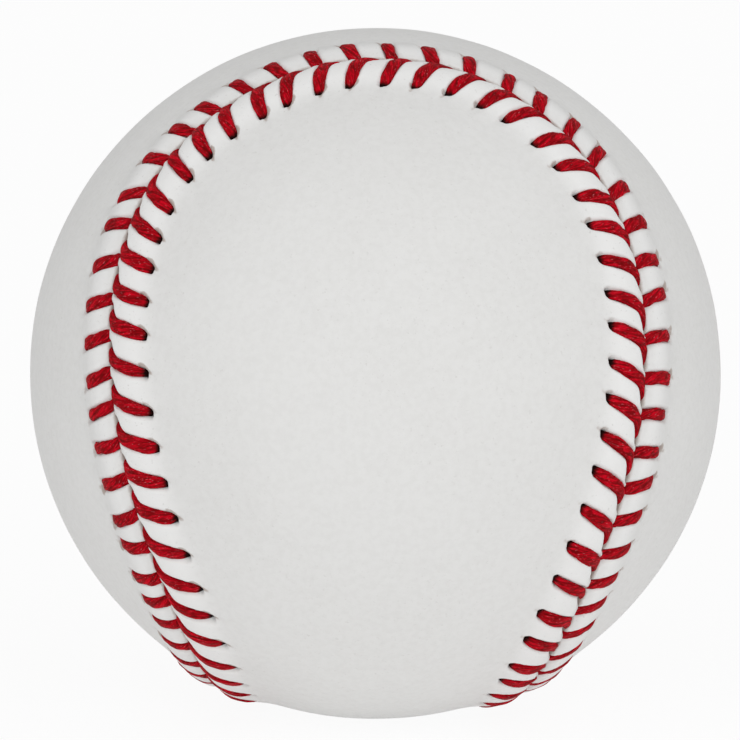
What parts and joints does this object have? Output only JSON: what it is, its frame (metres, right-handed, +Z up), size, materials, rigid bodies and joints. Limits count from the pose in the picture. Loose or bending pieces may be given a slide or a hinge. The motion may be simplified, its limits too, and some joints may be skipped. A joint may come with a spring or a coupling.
{
  "type": "baseball",
  "caption": "Hard ball of cork, rubber and wound yarn, covered by two interlocking white leather hides sewn with raised red double stitches.",
  "frame": {"origin": "centre of the ball, which is the centre of the part's box", "axes": "+Z is up, through the middle of the side hide where it passes over the top; the wide front lobe of the front hide faces -Y, and the side hide's lobes face -X and +X"},
  "size_m": [0.0742, 0.0742, 0.0742],
  "materials": {
    "cork": "moulded cork and rubber crumb, matt",
    "black_rubber": "moulded black rubber, matt",
    "red_rubber": "moulded red rubber, matt",
    "grey_wool": "tightly wound grey wool yarn",
    "white_wool": "tightly wound white wool yarn",
    "white_cotton": "fine white cotton winding, waxed",
    "white_leather": "alum-tanned white cowhide, fine grain, low sheen",
    "red_thread": "waxed red thread, satin"
  },
  "bodies": {
    "root": {"cork_core": "cork", "black_rubber_upper_half": "black_rubber", "black_rubber_lower_half": "black_rubber", "red_rubber_washer": "red_rubber", "red_rubber_layer": "red_rubber", "inner_grey_wool_winding": "grey_wool", "white_wool_winding": "white_wool", "outer_grey_wool_winding": "grey_wool", "cotton_winding": "white_cotton", "front_cover_hide": "white_leather", "side_cover_hide": "white_leather", "front_stitches": "red_thread", "side_stitches": "red_thread"}
  },
  "joints": []
}
